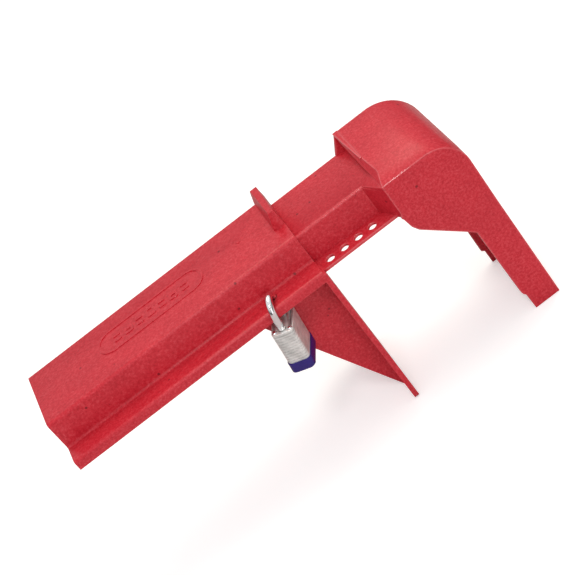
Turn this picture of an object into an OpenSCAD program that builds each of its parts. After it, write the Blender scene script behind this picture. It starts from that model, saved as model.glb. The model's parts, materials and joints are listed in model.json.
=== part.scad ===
// Telescoping valve-handle lockout closed by a small laminated safety padlock.
// X runs along the cover towards the hook, Y away from the flange side, Z up.
// The origin is on the pipe face of the wing, on the middle line of the cover.
// Heights inside the modules count from the flange top, which is raised by origin_drop.

/* [Sleeve] */
// length of the outer cover
sleeve_len = 285; // [200:1:320]
// distance of the flange side wall of the cover from the middle
sleeve_hw = 41.5; // [41:0.5:44]
// distance of the far wall of the cover from the middle
sleeve_far = 50.5; // [46:0.5:56]
// height of the cover top above the flange
sleeve_top = 32.5; // [30:0.5:36]
// wall thickness of the cover
wall = 3.6; // [2.5:0.1:5]
// distance of the flange edge from the middle
flange_y = 67; // [60:0.5:75]
// depth of the flange lip below the flange top
lip_z = 10.6; // [9:0.1:14]
// radius of the long rounded edges
edge_r = 4; // [3.7:0.1:6]

/* [Wing] */
// depth of the wing and hook tips below the flange top
tip_z = 179; // [150:1:200]
// wing thickness
wing_t = 5; // [4:0.5:8]
// length of the gusset along the cover
gusset_len = 85; // [60:1:100]
// height of the stop fin above the cover top
fin_h = 16; // [15:0.5:24]
// step between the end of the cover and the pipe face of the wing
end_step = 2.5; // [1:0.5:3]

/* [Slide and hook] */
// play between slide and cover
play = 0.6; // [0.4:0.1:1]
// wall thickness of the slide
slide_wall = 3.4; // [2.5:0.1:5]
// hidden length of the slide inside the cover
slide_in = 190; // [120:1:260]
// where the hood starts
hood_x = 72; // [66:1:74]
// outer face of the hook leg
leg_x = 164.6; // [160:0.2:172]
// height of the hood top
hood_z = 47.4; // [45:0.2:50]
// radius of the hood corner at the far side
hood_r = 42.5; // [38:0.5:44]
// radius of the hood corner at the flange side
nose_r = 33; // [28:0.5:34]

/* [Lock holes] */
// pitch of the hole row
pitch = 15.875; // [10:0.125:20]
// hole radius
hole_r = 4.5; // [4.4:0.1:5]
// distance of the hole row from the middle
row_y = 49.5; // [45:0.5:55]
// position of the first free hole of the slide
first_hole = 11.4; // [8:0.1:15]

/* [Padlock] */
// turn of the hanging padlock about its long leg
lock_yaw = 21; // [0:1:26]
// lean of the hanging padlock
lock_lean = 6; // [0:0.5:6.5]
// shackle wire radius
wire_r = 3.55; // [3:0.05:3.8]
// distance between the shackle legs
leg_gap = 24; // [22:0.5:26]
// width of the lock body
body_w = 38; // [36:0.5:42]
// thickness of the lock body
body_t = 22; // [20:0.5:24]
// height of the plate stack
body_h = 36.6; // [36:0.1:40]
// level of the body top below the flange top
body_top = 19.5; // [15:0.5:20]
// top of the bend above the flange top
bend_top = 12.5; // [10:0.5:16]

/* [Hidden] */
$fn = 48;
red = [0.80, 0.19, 0.22];
steel = [0.72, 0.72, 0.74];
brass = [0.78, 0.62, 0.30];
e = 0.01;
// height of the flange top above the origin
origin_drop = 95;

// slide section
s_hw = sleeve_hw - wall - play;
s_top = sleeve_top - wall - play;
s_fl_top = -wall + 0.1 - play;
s_fl_t = 2.5;
s_fl_bot = s_fl_top - s_fl_t;
s_fl_y = flange_y - 7;
ret_top = s_fl_bot - play;

// hook
far_y = s_hw;
crease_y = -52;
crease_z = hood_z - 5.9;
nose_z = sleeve_top + 0.3;
// middle of the two flanges, where the shackle wire is centred in its hole
grip_z = -5.3;

// padlock, in its own frame: X through the thickness, Y across, Z up,
// zero on the long leg at flange level
lock_y = -leg_gap / 2;
plate_t = 3.04;
n_plates = 12;
top_z = -body_top;
bot_z = top_z - body_h;
bore_r = wire_r + 0.3;
plug_r = 4.2;
shell_r = 6.4;
shell_top = top_z - 14.6;
pin_r = 1.45;
pin_z = [for (i = [0:3]) top_z - 18.5 - 4 * i];
key_len = [2.5, 3.1, 2.2, 2.8];
pin_tip = -0.7;
latch_z = top_z - 7.3;
latch_t = 3.4;
toe_len = 11;
heel_len = 25;

// ---------- helpers ----------
// section drawn in (Y, Z), pulled along X
module along_x(x0, x1) {
  translate([x0, 0, 0])
    rotate([90, 0, 90])
      linear_extrude(x1 - x0)
        children();
}

// section drawn in (X, Z), pulled along Y
module along_y(y0, y1) {
  translate([0, y1, 0])
    rotate([90, 0, 0])
      linear_extrude(y1 - y0)
        children();
}

// plain rectangle from corner to corner
module rect(a, b) {
  translate([min(a[0], b[0]), min(a[1], b[1])])
    square([abs(b[0] - a[0]), abs(b[1] - a[1])]);
}

// rectangle with both upper corners rounded
module arch(y0, y1, z0, z1, r) {
  rect([y0, z0], [y1, z1 - r]);
  rect([y0 + r, z0], [y1 - r, z1]);
  translate([y0 + r, z1 - r])
    circle(r);
  translate([y1 - r, z1 - r])
    circle(r);
}

// rectangle with four rounded corners, centred
module pill(w, h, r) {
  square([w - 2 * r, h], center = true);
  square([w, h - 2 * r], center = true);
  for (sx = [-1, 1])
    for (sy = [-1, 1])
      translate([sx * (w / 2 - r), sy * (h / 2 - r)])
        circle(r);
}

// the hanging position of the padlock
module hung() {
  translate([first_hole - 4 * pitch - grip_z * tan(lock_lean), -row_y, origin_drop])
    rotate([0, lock_lean, 0])
      rotate([0, 0, -lock_yaw])
        children();
}

// ---------- cover ----------
module sleeve_section() {
  difference() {
    union() {
      arch(-sleeve_hw, sleeve_far, -lip_z, sleeve_top, edge_r);
      rect([-flange_y, -lip_z], [-sleeve_hw + 1, -3]);
      rect([-flange_y + 3, -4], [-sleeve_hw + 1, 0]);
      translate([-flange_y + 3, -3])
        circle(3);
      // soft crease between wall and flange
      difference() {
        rect([-sleeve_hw - 3, -1], [-sleeve_hw + 1, 3]);
        translate([-sleeve_hw - 3, 3])
          circle(3);
      }
    }
    translate([0, -1])
      arch(-sleeve_hw + wall, s_hw + play, -lip_z - 1, sleeve_top - wall + 1, 1);
    // hollow behind the guide rib of the far wall
    translate([0, -1])
      arch(s_hw + play + 2.6, sleeve_far - wall, -lip_z - 1, sleeve_top - wall + 1, 1);
    rect([-flange_y + wall, ret_top], [0, -wall + 0.1]);
  }
  // return flange under the slide flange
  rect([-flange_y + 1, -lip_z], [-35, ret_top]);
}

// raised block of the badge, alternately a frame and a bar pair
module badge_block(i) {
  if (i % 2 == 0)
    difference() {
      pill(9.5, 14, 2);
      translate([0, i % 4 == 0 ? 2.6 : -2.6])
        pill(5, 3.2, 1);
    }
  else
    for (s = [-1, 1])
      translate([0, s * 4])
        pill(8, 4.6, 1.4);
}

module badge() {
  translate([-151, 8.4, sleeve_top - 0.5]) {
    linear_extrude(1.35)
      difference() {
        pill(120, 35.5, 16);
        pill(114.8, 30.3, 13.4);
      }
    for (i = [-3:3])
      translate([i * 13, 0, 0])
        linear_extrude(1.3)
          badge_block(i);
  }
  translate([-47.5, 11.6, sleeve_top - 0.5])
    cylinder(r = 2.2, h = 1);
}

module gusset(y0, y1) {
  along_y(y0, y1)
    polygon([[-gusset_len, -lip_z + 1.5], [-wing_t + 1, -lip_z + 1.5], [-wing_t + 1, -tip_z + 1],
             [-wing_t, -tip_z + 1], [-gusset_len, -lip_z]]);
}

// upright stop across the cover, highest at the flange side
module fin() {
  near_y = -12.8;
  near_top = sleeve_top + fin_h + 3.6;
  far_top = sleeve_top + fin_h - 1;
  edge_y = sleeve_far - 0.5;
  intersection() {
    along_y(-18, edge_y)
      polygon([[-14.5, sleeve_top - 1], [-14.5, sleeve_top], [-9.3, near_top], [-4, near_top],
               [-end_step, sleeve_top], [-end_step, sleeve_top - 1]]);
    along_x(-30, 0)
      union() {
        polygon([[near_y, sleeve_top - 1], [near_y, near_top - 0.8], [near_y + 0.8, near_top],
                 [edge_y - 4, far_top], [edge_y, far_top - 4], [edge_y, sleeve_top - 6],
                 [edge_y - 6, sleeve_top - 1]]);
        translate([edge_y - 4, far_top - 4])
          circle(4);
      }
  }
}

module sleeve() {
  color(red)
    translate([0, 0, origin_drop])
    difference() {
      union() {
        along_x(-sleeve_len, -end_step)
          sleeve_section();
        badge();
        // wing across the pipe
        along_x(-wing_t, 0)
          translate([(sleeve_far - flange_y) / 2, -(tip_z + lip_z - 2) / 2])
            pill(sleeve_far + flange_y, tip_z - lip_z + 2, 5);
        along_x(-wing_t, 0)
          rect([-flange_y, -lip_z - 8], [sleeve_far, -3]);
        gusset(-38.5, -35);
        gusset(sleeve_far - wall, sleeve_far);
        fin();
      }
      translate([first_hole - 4 * pitch, -row_y, -lip_z - 1])
        cylinder(r = hole_r, h = lip_z + 2);
      // the slide runs over the wing
      along_x(-wing_t - 1, 1) {
        rect([-s_hw - play, ret_top], [s_hw + play, sleeve_top - wall - 1]);
        rect([-flange_y + wall, ret_top], [0, -wall + 0.1]);
      }
    }
}

// ---------- slide with hook ----------
module slide_section() {
  difference() {
    arch(-s_hw, s_hw, s_fl_bot, s_top, 2.2);
    rect([-s_hw + slide_wall, s_fl_bot - 1], [s_hw - slide_wall, s_top - slide_wall]);
  }
  rect([-s_fl_y, s_fl_bot], [-s_hw + 1, s_fl_top]);
}

// upper end of a hood section: flat top running into the big corner
module hood_slab(x0, x1, top, r, y, inset = 0) {
  along_y(y, y + e)
    intersection() {
      union() {
        rect([x0, -60], [x1 - r, top]);
        rect([x0, -60], [x1, top - r]);
        rect([x0, -3], [leg_x - inset, -2.8]);
        translate([x1 - r, top - r])
          circle(r);
      }
      rect([x0, -3], [leg_x, top]);
    }
}

// closed upper body of the hood; a positive inset gives the hollow
module hood_body(inset) {
  $fn = 96;
  hull() {
    hood_slab(83.2 + inset, leg_x - 2.3 - inset, hood_z - inset, hood_r - inset, far_y - inset, inset);
    hood_slab(91.6 + inset, leg_x - 0.6 - inset, crease_z - inset, 38 - inset, crease_y + inset * 0.4,
              inset);
    hood_slab(85.7 + inset, leg_x - inset, nose_z - inset, nose_r - inset, -flange_y + inset, inset);
  }
}

// cheek below the hood down to the tip, cut away towards the slide
module cheek_near() {
  polygon([[85.7, -1], [leg_x, -1], [leg_x, -57], [leg_x + 1.3, -tip_z],
           [138.4, -tip_z], [137.4, -159.5], [135.4, -157], [134.6, -153], [133.4, -106], [132.3, -68],
           [128.5, -64.3], [125, -60.5], [91, -27], [87, -19.7], [84.7, -8], [83.8, s_fl_bot]]);
}

module cheek_far() {
  polygon([[84, -1], [leg_x - 0.8, -1], [leg_x, -2.9], [leg_x, -57], [leg_x + 1.3, -tip_z],
           [138, -tip_z], [137.6, -162.2], [134.6, -160.1], [134.4, -80], [129, -66], [125, -60.5],
           [91, -27], [87, -19.7], [84.7, -8], [84, s_fl_bot]]);
}

module slide_hook() {
  color(red)
    translate([0, 0, origin_drop])
    difference() {
      union() {
        along_x(-slide_in, hood_x + 2)
          slide_section();
        along_x(hood_x, 84)
          rect([-s_fl_y, s_fl_bot], [-s_hw + 1, s_fl_top]);
        along_x(hood_x, 88)
          arch(-s_hw, s_hw, s_fl_bot, s_top, 2.2);
        hood_body(0);
        along_y(-flange_y, -flange_y + wall)
          cheek_near();
        along_y(far_y - slide_wall, far_y)
          cheek_far();
        // outer wall of the leg
        along_y(-flange_y, far_y)
          polygon([[leg_x - slide_wall, -2.8], [leg_x, -2.8], [leg_x, -57], [leg_x + 1.3, -tip_z],
                   [leg_x + 1.3 - slide_wall, -tip_z], [leg_x - slide_wall, -57]]);
        // slanted wall from the slide to the flange side cheek
        translate([0, 0, s_fl_bot])
          linear_extrude(s_top - s_fl_bot - 0.6)
            polygon([[hood_x, -s_hw], [85.7, -flange_y], [92, -flange_y], [92, -30], [hood_x, -30]]);
        // web that rises from the slide to the hood corner
        hull()
          for (p = [[hood_x + 0.6, -35.6, s_top], [81.6, -19, s_top], [88.6, -50, s_top + 8],
                    [85.5, -flange_y + 0.6, nose_z - 0.3], [92, -flange_y + 0.6, nose_z - 0.3],
                    [92, -19, s_top]])
            translate([p[0], p[1] - 0.5, s_top - 3])
              cube([0.5, 0.5, p[2] - s_top + 3]);
        // end of the far cheek, sloping down to the slide
        along_y(far_y - slide_wall - 1, far_y)
          polygon([[73.6, s_top - 1], [73.6, s_top], [83.2, hood_z - 1], [90, hood_z - 1],
                   [90, s_top - 1]]);
        // raised rim of the hood
        hull() {
          translate([82.8, far_y - 0.9, hood_z - 2])
            cube([5.6, 0.8, 2.7]);
          translate([87.4, -22, hood_z - 6.2])
            cube([2, 0.8, 3]);
        }
      }
      hood_body(slide_wall);
      // open underside of the hood
      along_y(-flange_y + wall, far_y - slide_wall)
        rect([87, -30], [leg_x - slide_wall, -2.6]);
      // the channel of the slide runs on into the hood
      along_x(hood_x - 1, 100)
        rect([-s_hw + slide_wall, s_fl_bot - 1], [s_hw - slide_wall, s_top - slide_wall]);
      // hollow behind the slanted wall
      translate([0, 0, s_fl_bot - 1])
        linear_extrude(s_top - slide_wall - s_fl_bot + 1)
          polygon([[75.6, -35], [76.2, -37.3], [88.3, -flange_y + wall], [96, -flange_y + wall], [96, -33],
                   [75.6, -33]]);
      for (i = [-12:3])
        translate([first_hole + i * pitch, -row_y, s_fl_bot - 1])
          cylinder(r = hole_r, h = s_fl_t + 2);
    }
}

// ---------- padlock ----------
module shackle() {
  bend_z = bend_top - wire_r - leg_gap / 2;
  color(steel)
    hung()
      difference() {
        union() {
          translate([0, 0, top_z - heel_len])
            cylinder(r = wire_r, h = bend_z - top_z + heel_len);
          translate([0, -leg_gap, top_z - toe_len])
            cylinder(r = wire_r, h = bend_z - top_z + toe_len);
          translate([0, lock_y, bend_z])
            rotate([90, 0, 90])
              rotate_extrude(angle = 180)
                translate([leg_gap / 2, 0])
                  circle(wire_r);
        }
        // notch for the latch in the short leg
        translate([-5, -leg_gap + 1.6, latch_z - latch_t / 2 - 0.5])
          cube([10, 5, latch_t + 1]);
      }
}

// solid block of plates from level a to level b, measured down from the body top
module plate_block(a, b, r = 5) {
  translate([0, lock_y, top_z - b])
    linear_extrude(b - a)
      pill(body_t, body_w, r);
}

module rivet_places() {
  for (sx = [-1, 1])
    for (sy = [-1, 1])
      translate([sx * 7.6, lock_y + sy * 14.4, 0])
        children();
}

// everything the plates leave open
module plate_bores() {
  // long leg
  translate([0, 0, top_z - heel_len - 0.8])
    cylinder(r = bore_r, h = heel_len + 2);
  // short leg
  translate([0, -leg_gap, top_z - toe_len - 0.8])
    cylinder(r = bore_r, h = toe_len + 2);
  rivet_places()
    translate([0, 0, bot_z - 1])
      cylinder(r = 1.62, h = body_h + 2);
  // latch pocket
  translate([-4.2, -leg_gap + 1, latch_z - latch_t / 2 - 0.1])
    cube([8.4, leg_gap - 1 - bore_r - 0.6, latch_t + 0.2]);
  // cam chamber
  translate([0, lock_y, shell_top + 0.05])
    cylinder(r = 5.4, h = latch_z - latch_t / 2 - shell_top);
  // cylinder and pin housing
  translate([0, lock_y, bot_z + 0.6])
    cylinder(r = shell_r + 0.05, h = shell_top - bot_z - 0.55);
  translate([0, lock_y, bot_z - 1])
    cylinder(r = 4.7, h = 3);
  translate([-2.85, lock_y - 13.05, bot_z + 0.6])
    cube([5.7, 13.05, shell_top - bot_z - 0.55]);
}

// one run of plates with shadow gaps between them
module plate_run(i0, i1) {
  color(steel)
    hung()
      difference() {
        for (i = [i0:i1 - 1]) {
          plate_block(i * plate_t, (i + 1) * plate_t - 0.42);
          if (i < i1 - 1)
            translate([0, lock_y, top_z - (i + 1) * plate_t - 0.02])
              linear_extrude(0.46)
                pill(body_t - 0.9, body_w - 0.9, 4.6);
        }
        plate_bores();
      }
}

module top_plate() {
  plate_run(0, 1);
}

module latch_plates() {
  plate_run(1, 4);
}

module pin_plates() {
  plate_run(4, 11);
}

module bottom_plate() {
  color(steel)
    hung()
      difference() {
        plate_block(11 * plate_t, body_h);
        plate_bores();
      }
}

module rivets() {
  color(steel)
    hung()
      rivet_places() {
        translate([0, 0, bot_z + 0.3])
          cylinder(r = 1.6, h = body_h);
        translate([0, 0, top_z + 0.02])
          cylinder(r1 = 2.7, r2 = 1.7, h = 1.1);
      }
}

module bumper() {
  color([0.22, 0.14, 0.52])
    hung()
      difference() {
        translate([0, lock_y, bot_z - 9.4]) {
          linear_extrude(10.4)
            pill(body_t + 1.6, body_w + 2.4, 5.8);
          translate([0, 0, -0.8])
            linear_extrude(1)
              pill(body_t - 0.4, body_w + 0.4, 4.8);
        }
        translate([0, lock_y, bot_z - 0.03])
          linear_extrude(20)
            pill(body_t + 0.06, body_w + 0.06, 5.03);
        translate([0, lock_y, bot_z - 12])
          cylinder(r = 5.5, h = 14);
      }
}

module chamber_at(i) {
  translate([0, lock_y, pin_z[i]])
    rotate([90, 0, 0])
      children();
}

module cylinder_shell() {
  color(brass)
    hung()
      difference() {
        union() {
          translate([0, lock_y, bot_z + 0.65])
            cylinder(r = shell_r, h = shell_top - bot_z - 0.65);
          translate([-2.8, lock_y - 13, bot_z + 0.65])
            cube([5.6, 13, shell_top - bot_z - 0.65]);
        }
        translate([0, lock_y, bot_z])
          cylinder(r = plug_r + 0.05, h = body_h);
        for (i = [0:3])
          chamber_at(i)
            cylinder(r = pin_r + 0.05, h = 11.4);
        // seat of the chamber cap
        translate([-1.75, lock_y - 13.5, bot_z - 1])
          cube([3.5, 2.1, shell_top - bot_z + 0.5]);
      }
}

module chamber_cap() {
  color(brass)
    hung()
      translate([-1.7, lock_y - 12.95, bot_z + 0.7])
        cube([3.4, 1.5, shell_top - bot_z - 1.3]);
}

module key_plug() {
  color(brass)
    hung()
      difference() {
        union() {
          translate([0, lock_y, bot_z + 0.7])
            cylinder(r = plug_r, h = shell_top - bot_z - 0.7);
          // neck for the clip
          translate([0, lock_y, shell_top - 1])
            cylinder(r = 3.2, h = 1.9);
        }
        // keyway with a side ward
        translate([-0.75, lock_y - 3.6, bot_z])
          cube([1.5, 6.6, body_h]);
        translate([-0.8, lock_y + 0.8, bot_z])
          cube([2.1, 1.1, body_h]);
        for (i = [0:3])
          chamber_at(i)
            cylinder(r = pin_r + 0.05, h = 6);
      }
}

module cylinder_clip() {
  color(steel)
    hung()
      translate([0, lock_y, shell_top + 0.07])
        difference() {
          cylinder(r = 5, h = 0.76);
          translate([0, 0, -1])
            cylinder(r = 3.24, h = 3);
          translate([-2, 0, -1])
            cube([4, 7, 3]);
        }
}

module plug_cam() {
  color(brass)
    hung() {
      translate([0, lock_y, shell_top + 0.92])
        difference() {
          cylinder(r = 4.6, h = 1.4);
          translate([-5, 1.6, -1])
            cube([10, 5, 4]);
        }
      translate([-1.3, lock_y - 3.6, shell_top + 2.3])
        cube([2.6, 1.6, latch_z - latch_t / 2 - shell_top - 2.8]);
    }
}

module latch() {
  color(steel)
    hung()
      difference() {
        translate([-4, -leg_gap + 2, latch_z - latch_t / 2])
          cube([8, 9, latch_t]);
        translate([0, lock_y - 0.5, latch_z])
          rotate([90, 0, 0])
            cylinder(r = 1.5, h = 3);
      }
}

// coil spring drawn as flat turns on one thin strip
module coil(r, wire, len, turns) {
  for (i = [0:turns - 1])
    translate([0, 0, i * (len - wire) / (turns - 1)])
      difference() {
        cylinder(r = r, h = wire);
        translate([0, 0, -1])
          cylinder(r = r - wire, h = wire + 2);
      }
  translate([r - wire * 0.85, -wire / 3, wire / 2])
    cube([wire * 0.6, wire * 0.67, len - wire]);
}

module latch_spring() {
  color(steel)
    hung()
      translate([0, lock_y - 3.35, latch_z])
        rotate([-90, 0, 0])
          coil(1.4, 0.4, 8.6, 7);
}

module key_pin(i) {
  color(brass)
    hung()
      chamber_at(i)
        translate([0, 0, -pin_tip]) {
          translate([0, 0, 0.6])
            cylinder(r = pin_r, h = key_len[i] - 0.6);
          cylinder(r1 = 0.7, r2 = pin_r, h = 0.6);
        }
}

module driver_pin(i) {
  color(steel)
    hung()
      chamber_at(i)
        translate([0, 0, -pin_tip + key_len[i] + 0.02])
          cylinder(r = pin_r, h = 3.2);
}

module pin_spring(i) {
  start = -pin_tip + key_len[i] + 3.24;
  color(steel)
    hung()
      chamber_at(i)
        translate([0, 0, start])
          coil(1.3, 0.35, 9.9 - start, 5);
}

// ---------- selection ----------
sleeve();
slide_hook();
shackle();
top_plate();
latch_plates();
pin_plates();
bottom_plate();
rivets();
bumper();
cylinder_shell();
key_plug();
plug_cam();
cylinder_clip();
latch();
latch_spring();
key_pin(0);  // key_pin_1
key_pin(1);  // key_pin_2
key_pin(2);  // key_pin_3
key_pin(3);  // key_pin_4
driver_pin(0);  // driver_pin_1
driver_pin(1);  // driver_pin_2
driver_pin(2);  // driver_pin_3
driver_pin(3);  // driver_pin_4
pin_spring(0);  // pin_spring_1
pin_spring(1);  // pin_spring_2
pin_spring(2);  // pin_spring_3
pin_spring(3);  // pin_spring_4
chamber_cap();
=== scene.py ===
"""Looks for the valve-handle lockout and its padlock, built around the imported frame.

Every piece is the CAD mesh itself. This script gives the pieces their materials and finely
broken edges, and adds floor, lights, world and camera. Lengths are in metres.
"""
import json
import math

import bpy
from mathutils import Matrix, Vector


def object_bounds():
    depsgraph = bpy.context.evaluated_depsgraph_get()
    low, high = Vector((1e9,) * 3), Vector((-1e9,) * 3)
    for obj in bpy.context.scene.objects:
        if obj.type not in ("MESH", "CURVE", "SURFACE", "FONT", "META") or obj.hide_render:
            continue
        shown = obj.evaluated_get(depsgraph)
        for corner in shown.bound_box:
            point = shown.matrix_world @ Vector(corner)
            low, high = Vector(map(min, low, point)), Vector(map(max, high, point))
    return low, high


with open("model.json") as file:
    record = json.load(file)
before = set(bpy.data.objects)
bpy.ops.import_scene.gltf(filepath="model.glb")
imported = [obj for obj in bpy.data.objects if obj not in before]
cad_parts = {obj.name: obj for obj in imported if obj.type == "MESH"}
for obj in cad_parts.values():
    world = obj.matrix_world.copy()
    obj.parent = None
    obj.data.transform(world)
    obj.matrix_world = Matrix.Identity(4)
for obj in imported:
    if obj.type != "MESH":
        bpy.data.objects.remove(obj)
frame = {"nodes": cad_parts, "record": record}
cad_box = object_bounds()

# ---------- settings ----------
RED = (0.58, 0.019, 0.034)
VIOLET = (0.024, 0.010, 0.165)
WHITE = (1.0, 1.0, 1.0)
BLACK = (0.0, 0.0, 0.0)

# most that an edge is broken by; small CAD faces hold it to a few hundredths of a millimetre on
# the mouldings, so their soft edges show in the shading. The other nodes take EDGE_DEFAULT.
EDGE_DEFAULT = 0.0001
EDGE_WIDTH = {
    "sleeve": 0.0009, "slide_hook": 0.0009, "bumper": 0.0005,
    "top_plate": 0.0002, "bottom_plate": 0.0002, "rivets": 0.0002, "shackle": 0.00005,
}
WIDE_EDGE = 0.0004        # wider edges get one more segment
EDGE_ANGLE = 28           # degrees between faces above which an edge is broken
WELD_GAP = 0.00001

# the viewing position
CAM_PLACE = Vector((0.0079, -1.4323, 0.9839))
CAM_HEADING = 1.809       # degrees from +Y towards -X
CAM_TILT = -32.777       # degrees above the horizon
CAM_ROLL = -38.425       # degrees about the line of sight
SENSOR_MM = 36.0
FOCAL_MM = 113.23
FAR_CLIP = 50
TOWARDS_VIEWER = (0.027, -0.84, 0.54)

# name, place, target, size, power, colour
LIGHTS = [
    ("key", (0.4, 0.45, 2.0), (0.02, 0, 0.1), 1.2, 17, (1.0, 0.95, 0.82)),
    ("fill", (0.2, -2.3, 0.9), (0, 0, 0), 1.8, 13, WHITE),
    ("front", (-0.07, -1.25, 1.75), (0.02, 0, 0.08), 0.45, 9, WHITE),
]
AMBIENT = 0.55            # strength of the plain world
PAPER_GLOW = 0.42         # lifts the paper to white for the camera
FLOOR_GAP = 0.0005        # floor below the lowest point
FLOOR_SIZE = 14

# texture scales, per metre
GRAIN = 420               # fine speckle of the red mouldings
CLOUD = 26                # broad tone changes on them
SPECKS = 48               # sparse dark specks
SCRATCH = 900             # brushed lines on metal
TARNISH = 120             # dull patches on metal
SHELTER_REACH = 0.006     # how close another face must be to mark an inner corner, which is kept out of the painted edge highlight


def grey(value):
    return (value, value, value)


def scaled(colour, factor):
    return tuple(c * factor for c in colour)


# ---------- node helpers ----------
def new_material(name):
    mat = bpy.data.materials.new(name)
    mat.use_nodes = True
    tree = mat.node_tree
    return mat, tree, tree.nodes["Principled BSDF"], tree.nodes.new("ShaderNodeTexCoord")


def noise(tree, coords, scale, detail=3.0, rough=0.5, stretch=(1, 1, 1)):
    mapping = tree.nodes.new("ShaderNodeMapping")
    mapping.inputs["Scale"].default_value = stretch
    tree.links.new(coords.outputs["Object"], mapping.inputs["Vector"])
    tex = tree.nodes.new("ShaderNodeTexNoise")
    tex.inputs["Scale"].default_value = scale
    tex.inputs["Detail"].default_value = detail
    tex.inputs["Roughness"].default_value = rough
    tree.links.new(mapping.outputs["Vector"], tex.inputs["Vector"])
    return tex.outputs["Fac"]


def ramp(tree, fac, stops):
    """Colours blended between (place, colour) stops."""
    node = tree.nodes.new("ShaderNodeValToRGB")
    elements = node.color_ramp.elements
    while len(elements) < len(stops):
        elements.new(0.5)
    for element, (place, colour) in zip(elements, stops):
        element.position = place
        element.color = (*colour, 1.0)
    tree.links.new(fac, node.inputs["Fac"])
    return node.outputs["Color"]


def map_range(tree, value, start, end, low=0.0, high=1.0):
    node = tree.nodes.new("ShaderNodeMapRange")
    node.inputs["From Min"].default_value = start
    node.inputs["From Max"].default_value = end
    node.inputs["To Min"].default_value = low
    node.inputs["To Max"].default_value = high
    tree.links.new(value, node.inputs["Value"])
    return node.outputs["Result"]


def spread(tree, fac, low, high):
    return map_range(tree, fac, 0.0, 1.0, low, high)


def mix(tree, fac, a, b, mode="MIX"):
    """Colour mix; fac, a and b are sockets or plain values."""
    node = tree.nodes.new("ShaderNodeMix")
    node.data_type = "RGBA"
    node.blend_type = mode
    if isinstance(fac, float):
        node.inputs["Factor"].default_value = fac
    else:
        tree.links.new(fac, node.inputs["Factor"])
    for socket, value in (("A", a), ("B", b)):
        target = [s for s in node.inputs if s.name == socket and s.type == "RGBA"][0]
        if isinstance(value, tuple):
            target.default_value = (*value, 1.0)
        else:
            tree.links.new(value, target)
    return [s for s in node.outputs if s.type == "RGBA"][0]


def mix_shader(tree, fac, first, second):
    node = tree.nodes.new("ShaderNodeMixShader")
    tree.links.new(fac, node.inputs["Fac"])
    tree.links.new(first, node.inputs[1])
    tree.links.new(second, node.inputs[2])
    return node.outputs[0]


def bump(tree, shader, height, strength, distance):
    node = tree.nodes.new("ShaderNodeBump")
    node.inputs["Strength"].default_value = strength
    node.inputs["Distance"].default_value = distance
    tree.links.new(height, node.inputs["Height"])
    tree.links.new(node.outputs["Normal"], shader.inputs["Normal"])


def soft_normal(tree, radius, samples):
    node = tree.nodes.new("ShaderNodeBevel")
    node.samples = samples
    node.inputs["Radius"].default_value = radius
    return node.outputs["Normal"]


def edge_highlight_mask(tree, radius, gain):
    """Mask for the painted edge highlight: 0 on flat faces, 1 along outer edges, from how far a
    rounded normal leans away.
    """
    geo = tree.nodes.new("ShaderNodeNewGeometry")
    dot = tree.nodes.new("ShaderNodeVectorMath")
    dot.operation = "DOT_PRODUCT"
    tree.links.new(geo.outputs["Normal"], dot.inputs[0])
    tree.links.new(soft_normal(tree, radius, 6), dot.inputs[1])
    lean = map_range(tree, dot.outputs["Value"], 1.0, 1.0 - gain)
    # inner corners, found by ambient occlusion, are left out of the painted highlight
    shelter = tree.nodes.new("ShaderNodeAmbientOcclusion")
    shelter.samples = 4
    shelter.inputs["Distance"].default_value = SHELTER_REACH
    open_air = map_range(tree, shelter.outputs["AO"], 0.75, 0.92)
    both = tree.nodes.new("ShaderNodeMath")
    both.operation = "MULTIPLY"
    tree.links.new(lean, both.inputs[0])
    tree.links.new(open_air, both.inputs[1])
    return both.outputs[0]


# ---------- materials ----------
def red_plastic(name, base, edge_radius, edge_gain, gloss):
    """Moulded plastic with a fine speckled grain, a few dark specks, a painted highlight that
    lightens the outer edges, and polished soft edges.
    """
    mat, tree, shader, coords = new_material(name)
    dark = (base[0] * 0.78, base[1] * 0.5, base[2] * 0.6)
    # light is both the pale grain tone and the colour of the painted edge highlight
    light = (base[0] * 1.12, base[1] * 2.6 + 0.012, base[2] * 2.0 + 0.01)
    fine = noise(tree, coords, GRAIN, 5, 0.75)
    grain = ramp(tree, fine, [(0.34, dark), (0.50, base), (0.68, light)])
    cloud = noise(tree, coords, CLOUD, 4, 0.6)
    tint = ramp(tree, cloud, [(0.3, (0.88, 0.80, 0.84)), (0.7, WHITE)])
    colour = mix(tree, 1.0, grain, tint, "MULTIPLY")
    specks = tree.nodes.new("ShaderNodeTexVoronoi")
    specks.inputs["Scale"].default_value = SPECKS
    tree.links.new(coords.outputs["Object"], specks.inputs["Vector"])
    spot = ramp(tree, specks.outputs["Distance"], [(0.05, WHITE), (0.075, BLACK)])
    colour = mix(tree, spot, colour, scaled(base, 0.4))
    # painted highlight: the base colour turns to the light tone along outer edges
    edges = edge_highlight_mask(tree, edge_radius, edge_gain)
    tree.links.new(mix(tree, edges, colour, light), shader.inputs["Base Color"])
    tree.links.new(spread(tree, cloud, 0.30, 0.42), shader.inputs["Roughness"])
    shader.inputs["Specular IOR Level"].default_value = 0.34
    # a polished coat on the edges alone carries their highlight
    tree.links.new(soft_normal(tree, edge_radius, 8), shader.inputs["Coat Normal"])
    tree.links.new(spread(tree, edges, 0.0, gloss), shader.inputs["Coat Weight"])
    shader.inputs["Coat Roughness"].default_value = 0.12
    shader.inputs["Coat IOR"].default_value = 1.9
    bump(tree, shader, fine, 0.3, 0.0005)
    return mat


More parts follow.
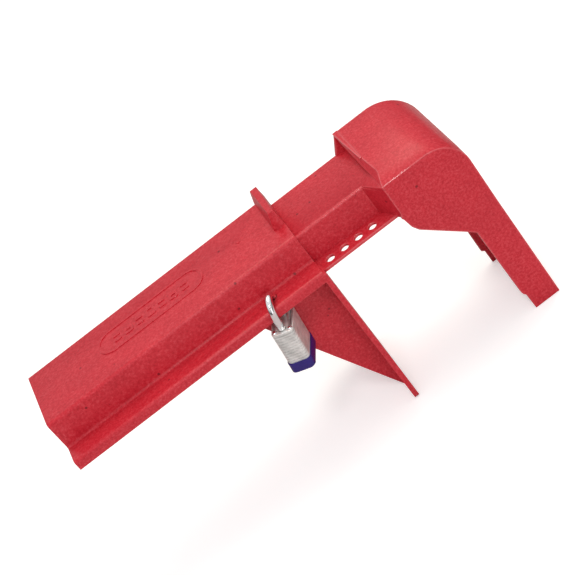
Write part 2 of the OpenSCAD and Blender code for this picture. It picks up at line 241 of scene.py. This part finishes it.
def metal(name, colour, rough, scratch=(1, 1, 1), contrast=0.12, metallic=1.0):
    """Metal with brushed or turned lines running along one direction."""
    mat, tree, shader, coords = new_material(name)
    lines = noise(tree, coords, SCRATCH, 4, 0.6, scratch)
    cloud = noise(tree, coords, TARNISH, 3, 0.6)
    dull = scaled(colour, 1 - contrast * 2.2)
    tone = ramp(tree, cloud, [(0.32, dull), (0.62, colour)])
    shade = ramp(tree, lines, [(0.3, grey(1 - contrast)), (0.7, WHITE)])
    tree.links.new(mix(tree, 1.0, tone, shade, "MULTIPLY"), shader.inputs["Base Color"])
    shader.inputs["Metallic"].default_value = metallic
    tree.links.new(spread(tree, lines, rough * 0.7, rough * 1.35), shader.inputs["Roughness"])
    bump(tree, shader, lines, 0.2, 0.00012)
    return mat


def bumper_plastic(name, base):
    """Dark moulded plastic, with a painted highlight that makes it a little lighter along its
    edges.
    """
    mat, tree, shader, coords = new_material(name)
    grain = noise(tree, coords, 700, 4, 0.6)
    cloud = noise(tree, coords, 60, 3, 0.5)
    # light is the colour of the painted edge highlight
    light = tuple(c * 1.5 + 0.01 for c in base)
    colour = ramp(tree, cloud, [(0.3, scaled(base, 0.75)), (0.7, base)])
    painted_edge_highlight = mix(tree, edge_highlight_mask(tree, 0.0006, 0.3), colour, light)
    tree.links.new(painted_edge_highlight, shader.inputs["Base Color"])
    tree.links.new(spread(tree, grain, 0.30, 0.45), shader.inputs["Roughness"])
    shader.inputs["Specular IOR Level"].default_value = 0.35
    bump(tree, shader, grain, 0.3, 0.0002)
    return mat


def dress_nodes():
    """Give each CAD node the material of its slot."""
    finishes = {
        # edge radius and gain set the painted edge highlight; the hook's is the strongest
        "cover_plastic": red_plastic("cover_red", RED, 0.0010, 0.30, 0.25),
        "hook_plastic": red_plastic("hook_red", RED, 0.0024, 0.06, 1.0),
        "shackle_chrome": metal("shackle_plating", (0.88, 0.88, 0.89), 0.09, (1, 1, 0.15), 0.04),
        "plate_steel": metal("plate_zinc", (0.90, 0.89, 0.87), 0.42, (0.2, 0.2, 3.0), 0.12, 0.6),
        "rivet_steel": metal("rivet_zinc", (0.84, 0.84, 0.86), 0.22, (1, 1, 1), 0.08),
        "bumper_plastic": bumper_plastic("bumper_violet", VIOLET),
        "inner_steel": metal("inner_steel", (0.62, 0.62, 0.64), 0.30, (1, 1, 1), 0.1),
        "lock_brass": metal("lock_brass", (0.75, 0.56, 0.24), 0.25, (1, 1, 0.2), 0.12),
    }
    slot_of = {part["node"]: part["material_slot"] for part in frame["record"]["subparts"]}
    for node_name, obj in frame["nodes"].items():
        obj.data.materials.clear()
        obj.data.materials.append(finishes[slot_of[node_name]])


def break_edges():
    """Smooth shading on curves, and a fine bevel where faces meet at an angle."""
    for node_name, obj in frame["nodes"].items():
        for face in obj.data.polygons:
            face.use_smooth = True
        weld = obj.modifiers.new("weld", "WELD")
        weld.merge_threshold = WELD_GAP
        width = EDGE_WIDTH.get(node_name, EDGE_DEFAULT)
        bevel = obj.modifiers.new("edges", "BEVEL")
        bevel.width = width
        bevel.segments = 3 if width > WIDE_EDGE else 2
        bevel.limit_method = "ANGLE"
        bevel.angle_limit = math.radians(EDGE_ANGLE)
        bevel.harden_normals = True


# ---------- surroundings ----------
def lay_floor():
    """Pale paper: white to the camera with the object's shadow, darker in reflections."""
    lowest = cad_box[0][2]
    bpy.ops.mesh.primitive_plane_add(size=FLOOR_SIZE, location=(0, 0, lowest - FLOOR_GAP))
    floor = bpy.context.object
    floor.name = "floor"
    mat, tree, shader, coords = new_material("floor_paper")
    paper = ramp(tree, noise(tree, coords, 3, 2), [(0, grey(0.80)), (1, grey(0.84))])
    tree.links.new(paper, shader.inputs["Base Color"])
    shader.inputs["Roughness"].default_value = 0.9
    shader.inputs["Specular IOR Level"].default_value = 0.1
    shade = tree.nodes.new("ShaderNodeBsdfDiffuse")
    shade.inputs["Color"].default_value = (0.62, 0.55, 0.55, 1)
    glow = tree.nodes.new("ShaderNodeEmission")
    glow.inputs["Strength"].default_value = PAPER_GLOW
    lift = tree.nodes.new("ShaderNodeAddShader")
    tree.links.new(shader.outputs[0], lift.inputs[0])
    tree.links.new(glow.outputs[0], lift.inputs[1])
    ray = tree.nodes.new("ShaderNodeLightPath")
    unseen = mix_shader(tree, ray.outputs["Is Glossy Ray"], shader.outputs[0], shade.outputs[0])
    surface = mix_shader(tree, ray.outputs["Is Camera Ray"], unseen, lift.outputs[0])
    tree.links.new(surface, tree.nodes["Material Output"].inputs["Surface"])
    floor.data.materials.append(mat)


def place_camera():
    data = bpy.data.cameras.new("camera")
    camera = bpy.data.objects.new("camera", data)
    bpy.context.scene.collection.objects.link(camera)
    turns = ((CAM_HEADING, "Z"), (90 + CAM_TILT, "X"), (CAM_ROLL, "Z"))
    camera.matrix_world = Matrix.Translation(CAM_PLACE)
    for angle, axis in turns:
        camera.matrix_world @= Matrix.Rotation(math.radians(angle), 4, axis)
    data.sensor_width = SENSOR_MM
    data.lens = FOCAL_MM
    data.clip_end = FAR_CLIP
    bpy.context.scene.camera = camera


def hang_light(name, place, target, size, power, colour):
    data = bpy.data.lights.new(name, "AREA")
    data.size = size
    data.energy = power
    data.color = colour
    light = bpy.data.objects.new(name, data)
    bpy.context.scene.collection.objects.link(light)
    light.location = place
    aim = Vector(target) - Vector(place)
    light.rotation_euler = aim.to_track_quat("-Z", "Y").to_euler()


def light_world():
    """White to the camera; mirrors see a bright ceiling, dark walls and a dark viewer."""
    world = bpy.data.worlds.new("world")
    bpy.context.scene.world = world
    world.use_nodes = True
    tree = world.node_tree
    plain = tree.nodes["Background"]
    white = tree.nodes.new("ShaderNodeBackground")
    studio = tree.nodes.new("ShaderNodeBackground")
    for node, strength in ((plain, AMBIENT), (white, 1.0)):
        node.inputs["Color"].default_value = (*WHITE, 1.0)
        node.inputs["Strength"].default_value = strength
    heading = tree.nodes.new("ShaderNodeTexCoord")
    split = tree.nodes.new("ShaderNodeSeparateXYZ")
    tree.links.new(heading.outputs["Generated"], split.inputs[0])
    sky = ramp(tree, split.outputs["Z"], [(0.12, grey(0.10)), (0.55, grey(0.9))])
    facing = tree.nodes.new("ShaderNodeVectorMath")
    facing.operation = "DOT_PRODUCT"
    tree.links.new(heading.outputs["Generated"], facing.inputs[0])
    facing.inputs[1].default_value = TOWARDS_VIEWER
    viewer = ramp(tree, facing.outputs["Value"], [(0.86, WHITE), (0.91, grey(0.03))])
    tree.links.new(mix(tree, 1.0, sky, viewer, "MULTIPLY"), studio.inputs["Color"])
    ray = tree.nodes.new("ShaderNodeLightPath")
    unseen = mix_shader(tree, ray.outputs["Is Glossy Ray"], plain.outputs[0], studio.outputs[0])
    surface = mix_shader(tree, ray.outputs["Is Camera Ray"], unseen, white.outputs[0])
    tree.links.new(surface, tree.nodes["World Output"].inputs["Surface"])


# ---------- build ----------
dress_nodes()
break_edges()
lay_floor()
place_camera()
for light in LIGHTS:
    hang_light(*light)
light_world()
bpy.context.scene.view_settings.view_transform = "Standard"
